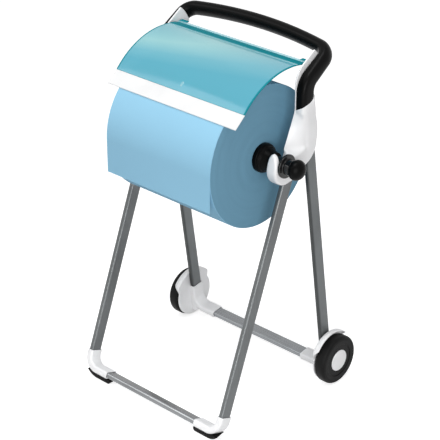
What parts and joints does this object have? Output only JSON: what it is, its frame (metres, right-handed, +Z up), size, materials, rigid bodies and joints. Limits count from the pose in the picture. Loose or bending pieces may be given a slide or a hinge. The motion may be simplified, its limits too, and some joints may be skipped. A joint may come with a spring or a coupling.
{
  "type": "paper roll floor stand",
  "caption": "Free-standing two-wheeled floor stand that holds a wide wiper roll on a spindle, with a push handle, a hinged clear cover and a toothed tear bar.",
  "frame": {"origin": "on the floor, midway between the front of the feet and the back of the wheels, and midway between the two sides", "axes": "+X along the roll to the right side, +Y from the feet to the wheels, +Z up"},
  "size_m": [0.646, 0.5256, 1.0144],
  "materials": {
    "steel_tube": "grey satin with fine lengthwise brushing",
    "white_plastic": "white moulded plastic, half gloss",
    "black_plastic": "black moulded plastic, satin",
    "black_rubber": "matt black rubber",
    "bright_steel": "bright zinc-plated steel",
    "core_board": "grey-brown wound board",
    "wound_paper": "light blue crepe paper, matt",
    "clear_turquoise": "clear turquoise tinted plastic, glossy"
  },
  "bodies": {
    "frame": {"front_leg_left": "steel_tube", "front_leg_right": "steel_tube", "rear_leg_left": "steel_tube", "rear_leg_right": "steel_tube", "front_crossbar": "steel_tube", "rear_crossbar": "steel_tube", "front_corner_left": "white_plastic", "rear_corner_left": "white_plastic", "front_foot_left": "black_rubber", "left_side_bracket": "white_plastic", "wheel_axle_left": "bright_steel", "axle_clip_left": "bright_steel", "hinge_pin_left": "bright_steel", "front_corner_right": "white_plastic", "rear_corner_right": "white_plastic", "front_foot_right": "black_rubber", "right_side_bracket": "white_plastic", "wheel_axle_right": "bright_steel", "axle_clip_right": "bright_steel", "hinge_pin_right": "bright_steel", "handle": "black_plastic", "leg_screws": "bright_steel", "handle_screws": "bright_steel", "paper_tail": "wound_paper"},
    "cover": {"cover": "clear_turquoise", "tear_bar": "white_plastic"},
    "spindle": {"spindle_shaft": "bright_steel", "core_cone_left": "black_plastic", "core_cone_right": "black_plastic", "spindle_collar_left": "black_plastic", "spindle_collar_right": "black_plastic", "spindle_knob_left": "black_plastic", "spindle_knob_right": "black_plastic", "roll_core": "core_board", "paper_roll": "wound_paper"},
    "wheel_left": {"tyre_left": "black_rubber", "wheel_hub_left": "black_plastic", "hub_cap_left": "white_plastic"},
    "wheel_right": {"tyre_right": "black_rubber", "wheel_hub_right": "black_plastic", "hub_cap_right": "white_plastic"}
  },
  "joints": [
    {"name": "cover_hinge", "type": "hinge", "parent": "frame", "child": "cover", "pos_m": [0, 0.10404, 0.95707], "axis": [-1, 0, 0], "range_deg": [0, 90]},
    {"name": "roll_spin", "type": "hinge", "parent": "frame", "child": "spindle", "pos_m": [0, -0.0195, 0.73], "axis": [1, 0, 0], "continuous": true},
    {"name": "wheel_left_spin", "type": "hinge", "parent": "frame", "child": "wheel_left", "pos_m": [-0.281, 0.1907, 0.071], "axis": [1, 0, 0], "continuous": true},
    {"name": "wheel_right_spin", "type": "hinge", "parent": "frame", "child": "wheel_right", "pos_m": [0.281, 0.1907, 0.071], "axis": [1, 0, 0], "continuous": true}
  ]
}
